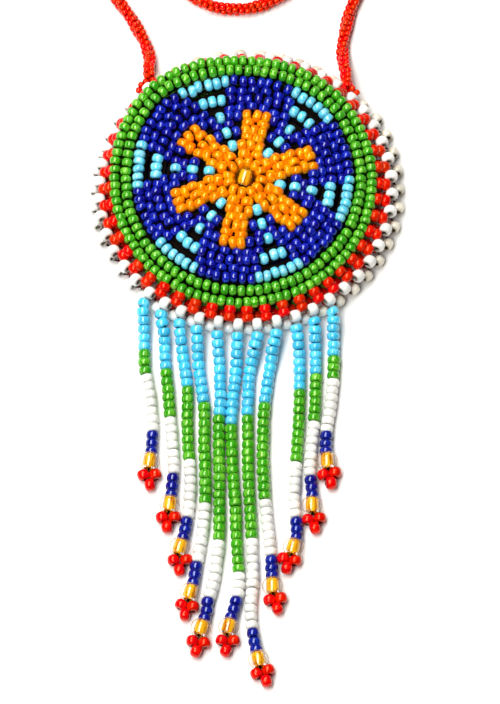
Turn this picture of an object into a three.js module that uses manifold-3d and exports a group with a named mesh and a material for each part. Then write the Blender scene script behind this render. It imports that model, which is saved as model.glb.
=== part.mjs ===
// A round beaded medicine bag on its back: a domed front rosette and a flat back panel of netted
// glass seed beads, zipped together round the rim, with the mouth at the +Y side left open.
// A beaded strap leaves the rim at both corners of the mouth, and eleven fringe strands hang
// from the rim at the -Y side. Millimetres, +Z up, origin under the middle of the back panel.
import * as THREE from 'three';
import { mergeVertices } from 'three/addons/utils/BufferGeometryUtils.js';
import Module from 'manifold-3d';

const wasm = await Module();
wasm.setup();

// Driving dimensions, in millimetres and degrees. Angles are clock angles: 0 at the mouth (+Y),
// growing clockwise as seen from above.
const BEAD = 2.1;                 // diameter of a seed bead, and so the thickness of a panel
const GAP = 0.3;                  // clearance between neighbouring pieces
const APEX_Z = 8.3;               // mid-surface height of the front panel at its centre
const RIM_Z = 4.2;                // the same at RIM_RADIUS
const RIM_RADIUS = 25.5;
const DOME_POWER = 2.2;           // how late the dome falls away towards the rim
const BAG_RADIUS = 28.75;         // outside of the white rim beads
const MOUTH_MIDDLE = 2;
const MOUTH_HALF = 44;            // the mouth spans MOUTH_MIDDLE plus and minus this
const MOUTH_LIFT = 4.6;           // how far the front lip stands above the closed rim
const LIFT_START = 11;            // radius where the front panel begins to rise to the mouth
const LIP_RADIUS = 23.5;          // outermost green row, the crest of the lifted lip
const LIP_DROOP = 0.2;            // the edging outside the crest droops by this
const LIP_TUCK = 1.2;             // and is drawn in by this
const ARM_COUNT = 6;
const FIRST_ARM = 10.5;           // clock angle of the first arm of the star
const ARM_HALF = 2.5;
const STAR_TIP = 13.95;
const HUB_RADIUS = 5.6;
const ROOT_ANGLE = 19;            // an arm leaves the hub this far either side of its axis
const CRYSTAL_HOLE = 2.25;
const CRYSTAL_RADIUS = 1.95;
const FIELD_RADIUS = 20.05;       // outside of the cobalt and sky field
const GREEN_SPLIT = 22.4;         // between the two green rows
const GREEN_RADIUS = 24.65;
const RED_RADIUS = 26.9;
const STRAP_DIAMETER = 2.4;
const STRAND_DIAMETER = 2.1;
const STRAND_EXIT_Z = 3.2;
const STRAND_DROP = 7.5;          // a strand comes down to the table within this length
const FRINGE_CRYSTAL = 2.0;       // radius of the crystal above each picot
const TUBE_SIDES = 8;
const RING_STEPS = 72;

const COLOURS = {
  green: [0x4fb92a, 0.3], red: [0xe81c0a, 0.25], white: [0xf6f4ee, 0.3], cobalt: [0x0d1fb4, 0.25],
  sky: [0x4bcdf2, 0.3], orange: [0xff9a10, 0.25], crystal: [0xf6d9a0, 0.05],
};

const bag = new THREE.Group();

function addPiece(name, geometry, colour) {
  const [hex, roughness] = COLOURS[colour];
  const material = new THREE.MeshStandardMaterial({ color: hex, roughness, metalness: 0 });
  const mesh = new THREE.Mesh(geometry, material);
  mesh.name = name;
  bag.add(mesh);
  return mesh;
}

// --- The front panel's surface -------------------------------------------------------------

const radians = THREE.MathUtils.degToRad;

// 1 in the middle of the mouth, 0 at its corners and everywhere else.
function mouthShare(clock) {
  const turned = (((clock - MOUTH_MIDDLE + 180) % 360) + 360) % 360 - 180;
  return Math.max(0, 1 - (turned / MOUTH_HALF) ** 2) ** 1.5;
}

// A point of the front panel: radius and clock angle on the bead chart, height above mid-surface.
function frontPoint(radius, clock, height) {
  const share = mouthShare(clock);
  const dome = APEX_Z - (APEX_Z - RIM_Z) * (radius / RIM_RADIUS) ** DOME_POWER;
  const climb = THREE.MathUtils.clamp((radius - LIFT_START) / (LIP_RADIUS - LIFT_START), 0, 1);
  const outside = Math.max(0, (radius - LIP_RADIUS) / (BAG_RADIUS - LIP_RADIUS));
  const z = dome + share * (MOUTH_LIFT * climb ** 1.5 - LIP_DROOP * outside) + height;
  const reach = radius - LIP_TUCK * share * outside;
  return new THREE.Vector3(reach * Math.sin(radians(clock)), reach * Math.cos(radians(clock)), z);
}

// A point of a flat panel lying on the table.
function backPoint(radius, clock, height) {
  return new THREE.Vector3(
    radius * Math.sin(radians(clock)), radius * Math.cos(radians(clock)), BEAD / 2 + height);
}

// --- Solids ----------------------------------------------------------------------------------

function movePoints(geometry, move) {
  const place = geometry.attributes.position;
  for (let i = 0; i < place.count; i++) {
    const moved = move(place.getX(i), place.getY(i), place.getZ(i));
    place.setXYZ(i, moved.x, moved.y, moved.z);
  }
  return geometry;
}

const clockOf = (x, y) => THREE.MathUtils.radToDeg(Math.atan2(x, y));

// A whole ring of beads, from inner to outer radius, laid on a surface.
function ring(inner, outer, surface, thickness = BEAD) {
  const profile = [[inner, -1], [outer, -1], [outer, 1], [inner, 1], [inner, -1]]
    .map(([radius, side]) => new THREE.Vector2(radius, side * thickness / 2));
  return movePoints(new THREE.LatheGeometry(profile, RING_STEPS).rotateX(Math.PI / 2),
    (x, y, z) => surface(Math.hypot(x, y), clockOf(x, y), z));
}

// Part of a ring, from one clock angle to another.
function arc(inner, outer, from, to, surface, thickness = BEAD) {
  const steps = Math.ceil((to - from) * RING_STEPS / 360);
  const block = new THREE.BoxGeometry(to - from, outer - inner, thickness, steps, 1, 1);
  return movePoints(block,
    (x, y, z) => surface((inner + outer) / 2 + y, (from + to) / 2 + x, z));
}

// A flat outline, one bead thick, bent onto the front panel.
function bentPlate(shape) {
  const plate = new THREE.ExtrudeGeometry(shape, { depth: BEAD, bevelEnabled: false, curveSegments: 6 });
  return movePoints(plate, (x, y, z) => frontPoint(Math.hypot(x, y), clockOf(x, y), z - BEAD / 2));
}

// Turns a point given across and along an arm's axis to x and y.
function onAxis(clock, across, along) {
  const turn = radians(clock);
  return new THREE.Vector2(
    along * Math.sin(turn) + across * Math.cos(turn), along * Math.cos(turn) - across * Math.sin(turn));
}

function tube(points, diameter) {
  const route = new THREE.CatmullRomCurve3(points, false, 'centripetal');
  const section = new THREE.Shape();
  for (let i = 0; i < TUBE_SIDES; i++) {
    const turn = 2 * Math.PI * (i + 0.5) / TUBE_SIDES;
    section[i ? 'lineTo' : 'moveTo'](diameter / 2 * Math.cos(turn), diameter / 2 * Math.sin(turn));
  }
  section.closePath();
  const steps = Math.ceil(route.getLength() / (2.5 * diameter));
  return new THREE.ExtrudeGeometry(section, { steps, extrudePath: route, bevelEnabled: false });
}

// --- Front rosette ---------------------------------------------------------------------------

// The crystal at the centre.
addPiece('centre_crystal', new THREE.SphereGeometry(CRYSTAL_RADIUS, 16, 10)
  .rotateX(Math.PI / 2).translate(0, 0, APEX_Z + 0.2), 'crystal');

// The orange star: a hub with six straight arms, worked in one.
const starOutline = [];
for (let k = 0; k < ARM_COUNT; k++) {
  const arm = FIRST_ARM + k * 360 / ARM_COUNT;
  starOutline.push(onAxis(arm - ROOT_ANGLE, 0, HUB_RADIUS));
  for (const along of [7, 9.3, 11.5, STAR_TIP - 0.5]) starOutline.push(onAxis(arm, -ARM_HALF, along));
  starOutline.push(onAxis(arm, 0, STAR_TIP));
  for (const along of [STAR_TIP - 0.5, 11.5, 9.3, 7]) starOutline.push(onAxis(arm, ARM_HALF, along));
  starOutline.push(onAxis(arm + ROOT_ANGLE, 0, HUB_RADIUS));
}
const star = new THREE.Shape(starOutline);
const HOLE_SIDES = 16;
star.holes.push(new THREE.Path(Array.from({ length: HOLE_SIDES },
  (_, i) => onAxis(-i * 360 / HOLE_SIDES, 0, CRYSTAL_HOLE))));
addPiece('star', bentPlate(star), 'orange');

// Between the arms, six sky fans widen in three steps from one bead to three to six.
const FAN_STEPS = [
  { from: 5.95, to: 14.25, half: 0.65 },
  { from: 14.25, to: 17.15, half: 2.2 },
  { from: 17.15, to: FIELD_RADIUS, half: 4.35 },
];
function fanShape(axis) {
  const side = sign => FAN_STEPS.flatMap(({ from, to, half }) => {
    const reach = Math.sqrt(Math.max(to ** 2 - half ** 2, 0));
    const end = to === FIELD_RADIUS ? reach : to;
    return [from, (from + end) / 2, end].map(along => onAxis(axis, sign * half, along));
  });
  const brow = [-1.5, 1.5].map(across => onAxis(axis, across, Math.sqrt(FIELD_RADIUS ** 2 - across ** 2)));
  return new THREE.Shape([...side(-1), ...brow, ...side(1).reverse()]);
}

// Six cobalt petals, each wrapped round the end of an arm, fill the rest of the field.
const FOOT = 8.6;                 // where a petal's two feet begin
function petalShape(axis) {
  const slack = GAP * 1.2;
  const flank = sign => {
    const valley = axis + sign * 180 / ARM_COUNT;
    const points = [onAxis(axis, sign * (ARM_HALF + slack), FOOT - 0.3)];
    for (const { from, to, half } of FAN_STEPS) {
      const inset = half + slack;
      const start = Math.max(from - slack, FOOT);
      const end = to === FIELD_RADIUS ? Math.sqrt(FIELD_RADIUS ** 2 - inset ** 2) : to - slack;
      for (const along of [start, (start + end) / 2, end]) {
        points.push(onAxis(valley, -sign * inset, along));
      }
    }
    return points;
  };
  const rim = [-3, 0, 3].map(across => onAxis(axis, across, Math.sqrt(FIELD_RADIUS ** 2 - across ** 2)));
  const crotch = [
    onAxis(axis, ARM_HALF + slack, 11), onAxis(axis, ARM_HALF + slack, STAR_TIP - 0.3),
    onAxis(axis, 0, STAR_TIP + slack),
    onAxis(axis, -ARM_HALF - slack, STAR_TIP - 0.3), onAxis(axis, -ARM_HALF - slack, 11),
  ];
  return new THREE.Shape([...flank(-1), ...rim, ...flank(1).reverse(), ...crotch]);
}

for (let k = 0; k < ARM_COUNT; k++) {
  const arm = FIRST_ARM + k * 360 / ARM_COUNT;
  addPiece(`cobalt_petal_${k + 1}`, bentPlate(petalShape(arm)), 'cobalt');
  addPiece(`sky_fan_${k + 1}`, bentPlate(fanShape(arm + 30)), 'sky');
}

// Two green rows, then the red edging in radial pairs.
addPiece('green_row_inner', ring(FIELD_RADIUS + GAP, GREEN_SPLIT - GAP / 2, frontPoint), 'green');
addPiece('green_row_outer', ring(GREEN_SPLIT + GAP / 2, GREEN_RADIUS - GAP / 2, frontPoint), 'green');
addPiece('front_red_edging', ring(GREEN_RADIUS + GAP / 2, RED_RADIUS - GAP / 2, frontPoint), 'red');

// --- Back panel, flat on the table -----------------------------------------------------------

const backDisc = new THREE.CylinderGeometry(HUB_RADIUS, HUB_RADIUS, BEAD, 36).rotateX(Math.PI / 2);
addPiece('back_centre', backDisc.translate(0, 0, BEAD / 2), 'orange');
addPiece('back_field', ring(HUB_RADIUS + GAP, FIELD_RADIUS, backPoint), 'cobalt');
addPiece('back_green_rows', ring(FIELD_RADIUS + GAP, GREEN_RADIUS - GAP / 2, backPoint), 'green');
addPiece('back_red_edging', ring(GREEN_RADIUS + GAP / 2, RED_RADIUS - GAP / 2, backPoint), 'red');

// --- White rim: zipped shut for three quarters, two free lips at the mouth ----------------------

const mouthFrom = MOUTH_MIDDLE - MOUTH_HALF;
const mouthTo = MOUTH_MIDDLE + MOUTH_HALF;
const endGap = THREE.MathUtils.radToDeg(GAP / BAG_RADIUS);
const SEAM_LOW = 0.7;
const SEAM_HIGH = 4.3;
const whiteInner = RED_RADIUS + GAP / 2;
const seamPoint = (radius, clock, height) => backPoint(radius, clock, height)
  .setZ((SEAM_LOW + SEAM_HIGH) / 2 + height);
addPiece('rim_seam', arc(whiteInner, BAG_RADIUS, mouthTo + endGap, mouthFrom + 360 - endGap,
  seamPoint, SEAM_HIGH - SEAM_LOW), 'white');
addPiece('front_lip', arc(whiteInner, BAG_RADIUS, mouthFrom, mouthTo, frontPoint, 1.9), 'white');
addPiece('back_lip', arc(whiteInner, BAG_RADIUS, mouthFrom, mouthTo, backPoint, 1.9)
  .translate(0, 0, -0.1), 'white');

// --- Strap: two runs and the coil that holds the rest of its length -----------------------------

const onTable = (points, height) => points.map(([x, y, z = height]) => new THREE.Vector3(x, y, z));

const LEFT_RUN = [
  [-18.0, 23.9, 3.0], [-17.7, 26.0, 1.9], [-18.0, 28.2, 1.3], [-18.6, 30.2], [-19.7, 32.3],
  [-20.8, 34.5], [-22.1, 36.5], [-23.5, 38.5], [-25.4, 41.3], [-27.4, 44.4], [-28.5, 47.9],
  [-28.0, 51.3], [-25.4, 53.9], [-21.9, 54.2], [-18.9, 51.8], [-17.5, 48.7], [-15.4, 45.4],
  [-12.8, 42.3], [-9.7, 39.6], [-6.2, 37.6], [-2.2, 36.9], [1.7, 37.3], [5.3, 38.7], [8.6, 41.0],
  [11.0, 43.7],
];
const RIGHT_RUN = [
  [18.6, 23.6, 3.0], [18.3, 25.9, 1.9], [18.1, 28.4, 1.3], [18.4, 31.2], [18.9, 33.9], [19.5, 36.2],
  [20.2, 38.4], [21.3, 40.8], [22.7, 43.4], [24.2, 46.5], [25.5, 49.8], [26.2, 53.2],
  [25.6, 56.5], [23.5, 58.7, 1.25], [20.7, 58.9, 1.7], [18.7, 57.6, 2.6],
];
addPiece('strap_left_run', tube(onTable(LEFT_RUN, STRAP_DIAMETER / 2), STRAP_DIAMETER), 'red');
addPiece('strap_right_run', tube(onTable(RIGHT_RUN, STRAP_DIAMETER / 2), STRAP_DIAMETER), 'red');

const COIL_CENTRE = [-1, 58.3];
const COIL_MIDDLE_RADIUS = 12.5;
const COIL_TURNS_WIDE = 4;        // three turns across, and the spiral's own step outward
const COIL_LAYERS = 2;
const coilHalf = COIL_TURNS_WIDE * STRAP_DIAMETER / 2;
const coilProfile = [[-1, 0], [1, 0], [1, 1], [-1, 1], [-1, 0]].map(([side, level]) => new THREE.Vector2(
  COIL_MIDDLE_RADIUS + side * coilHalf, level * COIL_LAYERS * STRAP_DIAMETER));
addPiece('strap_coil', new THREE.LatheGeometry(coilProfile, 48).rotateX(Math.PI / 2)
  .translate(COIL_CENTRE[0], COIL_CENTRE[1], 0), 'red');

// --- Fringe: eleven strands, each with a crystal and a picot of three beads at its end ----------

// Each route starts at the rim and ends at the strand's last seed bead; crystal and picot follow.
const FRINGE = [
  { route: [[-18.8, -23.2], [-18.7, -26.0], [-18.6, -29.0], [-18.6, -32.5], [-18.4, -36.0],
    [-17.7, -39.5], [-17.3, -43.0], [-17.1, -46.5], [-17.2, -51.2]],
  crystal: [-17.6, -54.0], picot: [-17.6, -57.2] },
  { route: [[-15.5, -25.4], [-15.0, -28.0], [-14.8, -31.5], [-14.6, -35.0], [-14.3, -38.5],
    [-14.0, -42.0], [-13.8, -45.5], [-13.4, -50.0], [-13.2, -55.0], [-13.5, -59.6]],
  crystal: [-13.9, -62.5], picot: [-14.2, -65.6] },
  { route: [[-12.1, -27.0], [-11.7, -30.5], [-11.3, -34.5], [-10.7, -38.0], [-10.6, -42.0],
    [-10.6, -46.5], [-10.4, -51.5], [-10.1, -56.0], [-10.2, -60.5], [-10.5, -64.0], [-11.2, -68.2]],
  crystal: [-12.0, -71.0], picot: [-12.0, -74.1] },
  { route: [[-8.9, -28.1], [-8.7, -31.5], [-8.5, -35.5], [-7.9, -39.5], [-7.5, -43.0],
    [-7.5, -48.0], [-7.4, -53.0], [-7.3, -58.5], [-7.5, -64.0], [-8.0, -68.5], [-8.7, -73.0],
    [-9.4, -77.2]],
  crystal: [-10.1, -80.0], picot: [-10.8, -83.0] },
  { route: [[-5.1, -28.9], [-4.8, -33.0], [-4.6, -37.5], [-4.5, -41.5], [-4.8, -46.0],
    [-4.8, -51.0], [-4.7, -56.5], [-4.7, -62.0], [-4.7, -67.5], [-5.1, -72.5], [-5.8, -77.5],
    [-6.7, -81.0], [-7.2, -84.2]],
  crystal: [-8.1, -87.0], picot: [-8.8, -90.2] },
  { route: [[-1.4, -29.2], [-1.5, -33.0], [-1.8, -37.5], [-2.3, -42.0], [-2.5, -46.5],
    [-2.4, -51.5], [-2.2, -56.5], [-1.8, -61.5], [-1.6, -67.0], [-1.4, -72.0], [-1.1, -77.0],
    [-1.5, -80.8], [-2.3, -83.9]],
  crystal: [-3.0, -86.8], picot: [-3.3, -90.0] },
  { route: [[2.3, -29.2], [1.7, -32.0], [0.9, -36.0], [0.6, -40.0], [0.5, -44.5], [0.6, -49.5],
    [0.6, -54.5], [0.8, -60.0], [1.1, -65.5], [1.3, -71.0], [1.5, -75.5], [1.3, -79.5],
    [1.1, -83.0], [1.3, -86.8], [2.0, -90.4]],
  crystal: [2.5, -93.2], picot: [3.5, -96.1] },
  { route: [[5.8, -28.9], [5.1, -31.8], [4.7, -35.0], [4.0, -39.0], [3.6, -43.0], [3.4, -48.0],
    [3.3, -52.5], [3.5, -58.0], [3.8, -62.5], [4.2, -67.0], [4.7, -71.5], [5.0, -75.8]],
  crystal: [5.1, -78.7], picot: [5.7, -81.8] },
  { route: [[9.6, -27.9], [9.9, -31.0], [10.1, -35.0], [10.1, -39.5], [10.0, -44.0], [9.8, -48.5],
    [9.5, -53.0], [9.2, -57.5], [9.1, -62.0], [9.4, -65.5], [9.6, -68.2]],
  crystal: [8.9, -71.0], picot: [8.0, -73.9] },
  { route: [[12.9, -26.7], [13.0, -29.5], [13.1, -33.5], [13.1, -38.0], [13.0, -42.5],
    [12.7, -46.5], [12.3, -51.0], [12.0, -55.5], [12.4, -59.8]],
  crystal: [12.4, -62.7], picot: [12.8, -65.8] },
  { route: [[16.3, -24.9], [16.3, -28.0], [16.4, -31.5], [16.4, -36.0], [16.1, -40.0],
    [15.6, -44.0], [15.1, -47.5], [15.0, -51.0]],
  crystal: [15.2, -53.9], picot: [15.7, -56.9] },
];

// A strand leaves the rim above the table and comes down to it in one soft bend.
function strandPoints(route) {
  const [startX, startY] = route[0];
  const low = STRAND_DIAMETER / 2;
  return route.map(([x, y]) => {
    const gone = Math.min(1, Math.hypot(x - startX, y - startY) / STRAND_DROP);
    const share = (1 + Math.cos(Math.PI * gone)) / 2;
    return new THREE.Vector3(x, y, low + (STRAND_EXIT_Z - low) * share);
  });
}

function toManifold(geometry) {
  geometry.deleteAttribute('normal');
  geometry.deleteAttribute('uv');
  const merged = mergeVertices(geometry, 1e-4);
  return new wasm.Manifold(new wasm.Mesh({
    numProp: 3, vertProperties: merged.attributes.position.array,
    triVerts: new Uint32Array(merged.index.array),
  }));
}

function fromManifold(solid) {
  const { vertProperties, triVerts } = solid.getMesh();
  const geometry = new THREE.BufferGeometry();
  geometry.setAttribute('position', new THREE.BufferAttribute(vertProperties, 3));
  geometry.setIndex(new THREE.BufferAttribute(triVerts, 1));
  return geometry;
}

// Three seed beads drawn together by the thread's turn: two side by side, one below.
function picot([x, y], [fromX, fromY]) {
  const heading = clockOf(x - fromX, y - fromY);
  const beads = [[-0.95, -0.1], [0.95, -0.1], [0, 1.5]].map(([across, along]) => {
    const { x: dx, y: dy } = onAxis(heading, across, along);
    const bead = new THREE.SphereGeometry(BEAD / 2, 8, 6).rotateX(Math.PI / 2);
    return toManifold(bead.translate(x + dx, y + dy, BEAD / 2));
  });
  return fromManifold(beads.reduce((whole, bead) => whole.add(bead)));
}

FRINGE.forEach(({ route, crystal, picot: tip }, k) => {
  const number = String(k + 1).padStart(2, '0');
  addPiece(`fringe_strand_${number}`, tube(strandPoints(route), STRAND_DIAMETER), 'sky');
  addPiece(`fringe_crystal_${number}`, new THREE.SphereGeometry(FRINGE_CRYSTAL, 12, 8)
    .rotateX(Math.PI / 2).translate(crystal[0], crystal[1], FRINGE_CRYSTAL), 'crystal');
  addPiece(`fringe_picot_${number}`, picot(tip, crystal), 'red');
});

export default bag;
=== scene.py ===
# A round beaded medicine bag, lying on its back with its strap and fringe laid out. Lengths are in
# millimetres until a mesh is made. A clock angle is 0 at the mouth (+Y) and grows clockwise from above.
import math

import bpy
import numpy as np
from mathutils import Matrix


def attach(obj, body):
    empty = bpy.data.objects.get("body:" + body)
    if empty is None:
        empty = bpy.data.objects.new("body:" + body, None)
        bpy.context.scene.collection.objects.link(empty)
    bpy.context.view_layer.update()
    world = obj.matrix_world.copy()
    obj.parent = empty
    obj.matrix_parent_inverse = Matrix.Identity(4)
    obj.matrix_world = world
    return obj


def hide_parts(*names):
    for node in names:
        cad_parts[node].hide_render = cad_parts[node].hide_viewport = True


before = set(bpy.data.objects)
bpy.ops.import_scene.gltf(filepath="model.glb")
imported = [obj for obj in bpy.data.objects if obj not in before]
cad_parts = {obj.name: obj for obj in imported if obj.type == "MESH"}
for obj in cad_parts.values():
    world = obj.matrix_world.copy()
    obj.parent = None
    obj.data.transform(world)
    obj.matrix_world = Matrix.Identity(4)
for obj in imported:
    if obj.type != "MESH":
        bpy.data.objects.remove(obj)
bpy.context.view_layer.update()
MM = 0.001
chance = np.random.default_rng(1109)


# ---- Table, light and camera ------------------------------------------------------------------
# A plain white table top of painted board. One soft light hangs over the bag, held to the left,
# and a wider, weaker one fills from above. The camera looks down from the fringe's side.

def linear(colour, alpha=1.0):
    """A hex colour on screen as the linear values that a shader takes."""
    parts = [int(colour[i:i + 2], 16) / 255 for i in (1, 3, 5)]
    return (*[p / 12.92 if p <= 0.04045 else ((p + 0.055) / 1.055) ** 2.4 for p in parts], alpha)


def add_node(tree, kind, feeds=None, **settings):
    """Adds a node. Each feed is an input's own value, or the output that is linked to it."""
    node = tree.nodes.new(kind)
    for name, value in settings.items():
        setattr(node, name, value)
    for name, value in (feeds or {}).items():
        if isinstance(value, bpy.types.NodeSocket):
            tree.links.new(value, node.inputs[name])
        else:
            node.inputs[name].default_value = value
    return node


def new_material(name):
    material = bpy.data.materials.new(name)
    material.use_nodes = True
    material.node_tree.nodes.clear()
    return material, material.node_tree


# Eggshell paint on board: nearly white, with a faint grain and no gloss to speak of.
BOARD_GRAINS = 900.0               # of the paint's grain, across the table
board_paint, tree = new_material("painted_board")
grain = add_node(tree, "ShaderNodeTexNoise", {"Scale": BOARD_GRAINS, "Detail": 2.0})
tone = add_node(tree, "ShaderNodeMapRange", {
    "Value": grain.outputs["Fac"], "To Min": 0.93, "To Max": 0.96})
paint = add_node(tree, "ShaderNodeBsdfPrincipled", {
    "Base Color": tone.outputs["Result"], "Roughness": 0.7, "Specular IOR Level": 0.2})
add_node(tree, "ShaderNodeOutputMaterial", {"Surface": paint.outputs["BSDF"]})

TABLE_HALF = 1.5                   # in metres, like the lights' distances and sides
table_mesh = bpy.data.meshes.new("table")
table_mesh.from_pydata(
    [(-TABLE_HALF, -TABLE_HALF, 0), (TABLE_HALF, -TABLE_HALF, 0), (TABLE_HALF, TABLE_HALF, 0),
     (-TABLE_HALF, TABLE_HALF, 0)], [], [(0, 1, 2, 3)])
table_mesh.materials.append(board_paint)
table = bpy.data.objects.new("table", table_mesh)
bpy.context.collection.objects.link(table)


def hang_light(name, direction, distance, long, wide, power, colour):
    """A panel of light that faces the bag, with its long side along the fringe."""
    lamp = bpy.data.lights.new(name, "AREA")
    lamp.shape, lamp.size, lamp.size_y = "RECTANGLE", long, wide
    lamp.energy, lamp.color = power, linear(colour)[:3]
    holder = bpy.data.objects.new(name, lamp)
    holder.location = [distance * part for part in direction]
    holder.rotation_euler = holder.location.to_track_quat("Z", "Y").to_euler()
    bpy.context.collection.objects.link(holder)


hang_light("key_light", (-0.3, 0.05, 0.95), 0.9, 1.5, 0.45, 17.5, "#FFFDF8")
hang_light("top_fill", (0.1, 0.25, 0.95), 1.2, 1.1, 1.1, 0.55, "#FFF8F0")

world = bpy.data.worlds.new("studio")
world.use_nodes = True
world.node_tree.nodes["Background"].inputs["Color"].default_value = linear("#F0E8E0")
world.node_tree.nodes["Background"].inputs["Strength"].default_value = 0.055
bpy.context.scene.world = world
bpy.context.scene.view_settings.view_transform = "Standard"

VIEW_HEIGHT = math.radians(68)     # the camera's angle above the table
VIEW_TALL = 130.24                 # what the frame's long side takes in
AIM = (0.925, -31.41)              # where its middle meets the table
LENS = 1100.0                      # so long that the bag shows no perspective
SENSOR = 36.0
FAR_LIMIT = 20                     # in metres: the camera stands off by four
camera_data = bpy.data.cameras.new("camera")
camera_data.lens, camera_data.sensor_width = LENS, SENSOR
camera = bpy.data.objects.new("camera", camera_data)
stand_off = VIEW_TALL * LENS / SENSOR * MM
camera.location = (AIM[0] * MM, AIM[1] * MM - stand_off * math.cos(VIEW_HEIGHT),
                   stand_off * math.sin(VIEW_HEIGHT))
camera.rotation_euler = (math.pi / 2 - VIEW_HEIGHT, 0, 0)
camera_data.clip_end = FAR_LIMIT
bpy.context.collection.objects.link(camera)
bpy.context.scene.camera = camera


# ---- Strap ------------------------------------------------------------------------------------
# A rope of small opaque red glass beads, worked in the round with four beads to a round and
# slightly twisted, about 0.6 m long. Both ends are sewn into the rim at the mouth's corners. What
# is not in use is wound up into a two-layer coil above the bag.

def smooth_line(points, step):
    """Points at even steps on a smooth curve through the given ones (centripetal Catmull-Rom)."""
    points = np.array(points, float)
    ends = np.vstack([2 * points[0] - points[1], points, 2 * points[-1] - points[-2]])
    dense = []
    for a, b, c, d in zip(ends, ends[1:], ends[2:], ends[3:]):
        ta, tb, tc = (np.linalg.norm(q - p) ** 0.5 for p, q in ((a, b), (b, c), (c, d)))
        leave = (b - a) / ta - (c - a) / (ta + tb) + (c - b) / tb
        arrive = (c - b) / tb - (d - b) / (tb + tc) + (d - c) / tc
        leave, arrive = leave * tb, arrive * tb
        t = np.linspace(0, 1, 12, endpoint=False)[:, None]
        dense.append(b + leave * t + (3 * (c - b) - 2 * leave - arrive) * t ** 2
                     + (2 * (b - c) + leave + arrive) * t ** 3)
    dense = np.vstack([*dense, points[-1:]])
    gone = np.concatenate([[0], np.cumsum(np.linalg.norm(np.diff(dense, axis=0), axis=1))])
    even = np.linspace(0, gone[-1], max(2, round(gone[-1] / step) + 1))
    return np.stack([np.interp(even, gone, dense[:, k]) for k in range(3)], axis=1)


def line_length(line):
    return float(np.linalg.norm(np.diff(line, axis=0), axis=1).sum())


def along_line(line, distances):
    """Places and unit directions at these distances along a line."""
    gone = np.concatenate([[0], np.cumsum(np.linalg.norm(np.diff(line, axis=0), axis=1))])
    where = [np.stack([np.interp(distances + shift, gone, line[:, k]) for k in range(3)], axis=1)
             for shift in (-0.05, 0, 0.05)]
    return where[1], unit(where[2] - where[0])


def unit(vectors):
    return vectors / np.linalg.norm(vectors, axis=-1, keepdims=True)


def ring_quads(rings, around, steps):
    """Quads from each ring of points to the next, in so many steps. The last may close the loop."""
    step, side = np.meshgrid(np.arange(steps), np.arange(around), indexing="ij")
    ahead, beside = (step + 1) % rings, (side + 1) % around
    return np.stack([step * around + side, step * around + beside,
                     ahead * around + beside, ahead * around + side], axis=-1).reshape(-1, 4)


WIDTH_VARIES, LENGTH_VARIES = 0.022, 0.03     # of a bead, as shares of its size
CANE_STRETCH = 0.2                            # how slowly a cane's glass changes along the hole


def bead_mesh(beads, around, wall, slack=0.05, tilt=0.06, full=0.72):
    """Many beads in one mesh: vertices, quads, their material numbers, and two facts of a vertex.

    A bead is (place, hole direction, width, length, hole, material number). Each is a ring of
    glass with a rounded wall, with this many points around the hole and around the wall. Beads
    are off their places and directions by about the slack and tilt, and no two are quite the
    same size. The first fact is the vertex's place in its own glass cane, and the second is the
    share of painted shade it takes: 1 in the hole, and outside falling to 0 half way along, so
    the ends where beads meet are painted darker. A wall less full than 1 is blunter than an ellipse.
    """
    place, axis, wide, long, hole, number = (np.array(part, float) for part in zip(*beads))
    count = len(place)
    place = place + chance.normal(0, slack, (count, 3))
    axis = unit(unit(axis) + chance.normal(0, tilt, (count, 3)))
    wide = wide * chance.normal(1, WIDTH_VARIES, count)
    long = long * chance.normal(1, LENGTH_VARIES, count)
    aside = np.where(np.abs(axis[:, 2:]) < 0.8, [[0.0, 0.0, 1.0]], [[1.0, 0.0, 0.0]])
    first = unit(np.cross(aside, axis))
    second = np.cross(axis, first)
    turn = np.arange(around) * 2 * math.pi / around
    inner = (wall - 3) // 2        # points of the wall that line the hole
    swell = np.linspace(-1, 1, wall - inner)
    edge = np.arccos((hole / wide + 0.1) ** (1 / full))[:, None]
    radius = np.hstack([wide[:, None] / 2 * np.cos(swell * edge) ** full,
                        np.repeat(hole[:, None] / 2, inner, axis=1)])
    outside = np.sign(swell) * (np.abs(np.sin(swell * edge)) / np.sin(edge)) ** full
    lining = np.linspace(0.8, -0.8, inner) if inner > 1 else [0.0]
    reach = long[:, None] / 2 * np.hstack([outside, np.broadcast_to(lining, (count, inner))])
    # Painted shade: full in the hole, and on the outside growing towards the ends where beads meet.
    shade_share = np.concatenate([0.5 * np.abs(swell) ** 3, np.ones(inner)])
    spokes = (first[:, None, :] * np.cos(turn)[None, :, None]
              + second[:, None, :] * np.sin(turn)[None, :, None])
    points = (place[:, None, None, :] + radius[:, :, None, None] * spokes[:, None, :, :]
              + reach[:, :, None, None] * axis[:, None, None, :])
    cane = np.empty_like(points)
    cane[..., 0] = radius[:, :, None] * np.cos(turn)
    cane[..., 1] = radius[:, :, None] * np.sin(turn)
    cane[..., 2] = reach[:, :, None] * CANE_STRETCH
    cane += chance.uniform(0, 400, (count, 3))[:, None, None, :]
    inside = np.broadcast_to(shade_share[None, :, None], points.shape[:3])
    starts = np.arange(count)[:, None, None] * wall * around
    quads = (ring_quads(wall, around, wall) + starts).reshape(-1, 4)
    numbers = np.repeat(number.astype(int), wall * around)
    return points.reshape(-1, 3), quads, numbers, cane.reshape(-1, 3), inside.reshape(-1)


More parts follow.
